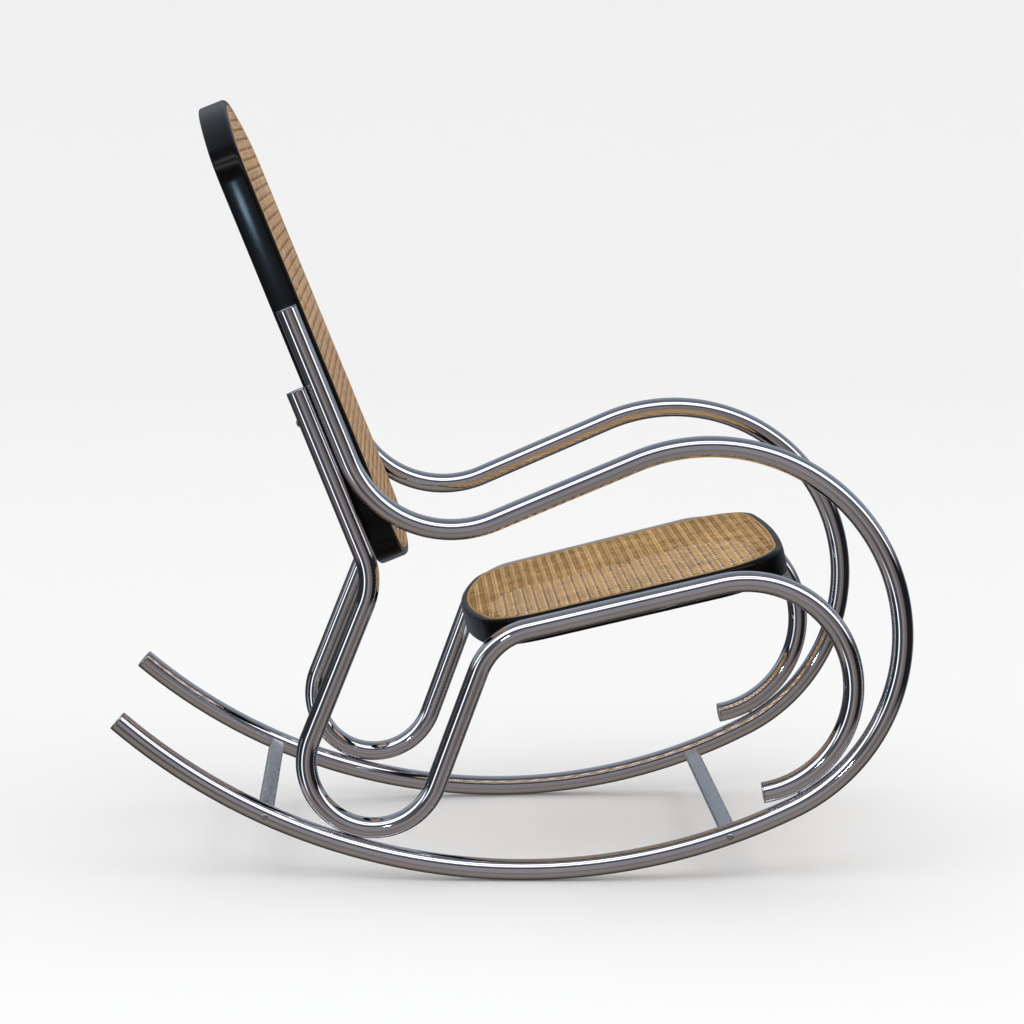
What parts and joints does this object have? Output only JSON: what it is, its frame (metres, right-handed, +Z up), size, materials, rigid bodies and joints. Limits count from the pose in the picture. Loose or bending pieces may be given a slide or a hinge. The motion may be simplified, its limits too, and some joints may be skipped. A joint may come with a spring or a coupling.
{
  "type": "rocking chair",
  "caption": "Rocking chair of bent chromed steel tube, with a caned seat and a tall caned back in black lacquered wooden frames.",
  "frame": {"origin": "floor level, under the centre of the chair's overall box", "axes": "+Z up, -Y the way the sitter faces, +X to the sitter's left; mirror plane X = 0"},
  "size_m": [0.5402, 0.9591, 0.9325],
  "materials": {
    "tube_chrome": "polished, with fine wear",
    "plug_chrome": "polished flat end caps",
    "satin_chrome": "satin",
    "zinc_steel": "satin",
    "black_lacquer": "semi-gloss black lacquer",
    "seat_cane": "woven, lightly varnished",
    "back_cane": "woven, lightly varnished",
    "cane_spline": "satin"
  },
  "bodies": {
    "root": {"back_cane": "back_cane", "back_frame": "black_lacquer", "back_spline": "cane_spline", "front_stretcher": "satin_chrome", "left_back_stud_lower": "zinc_steel", "left_back_stud_upper": "zinc_steel", "left_front_stretcher_screw": "zinc_steel", "left_inner_tube": "tube_chrome", "left_inner_tube_plug": "plug_chrome", "left_outer_tube": "tube_chrome", "left_rear_stretcher_screw": "zinc_steel", "left_rocker_bend_screw": "zinc_steel", "left_rocker_plug": "plug_chrome", "left_seat_loop_plug": "plug_chrome", "left_seat_loop_screw": "zinc_steel", "left_seat_stud_front": "zinc_steel", "left_seat_stud_rear": "zinc_steel", "left_upright_bolt": "zinc_steel", "left_upright_plug": "plug_chrome", "rear_stretcher": "satin_chrome", "right_back_stud_lower": "zinc_steel", "right_back_stud_upper": "zinc_steel", "right_front_stretcher_screw": "zinc_steel", "right_inner_tube": "tube_chrome", "right_inner_tube_plug": "plug_chrome", "right_outer_tube": "tube_chrome", "right_rear_stretcher_screw": "zinc_steel", "right_rocker_bend_screw": "zinc_steel", "right_rocker_plug": "plug_chrome", "right_seat_loop_plug": "plug_chrome", "right_seat_loop_screw": "zinc_steel", "right_seat_stud_front": "zinc_steel", "right_seat_stud_rear": "zinc_steel", "right_upright_bolt": "zinc_steel", "right_upright_plug": "plug_chrome", "seat_cane": "seat_cane", "seat_frame": "black_lacquer", "seat_spline": "cane_spline"}
  },
  "joints": []
}
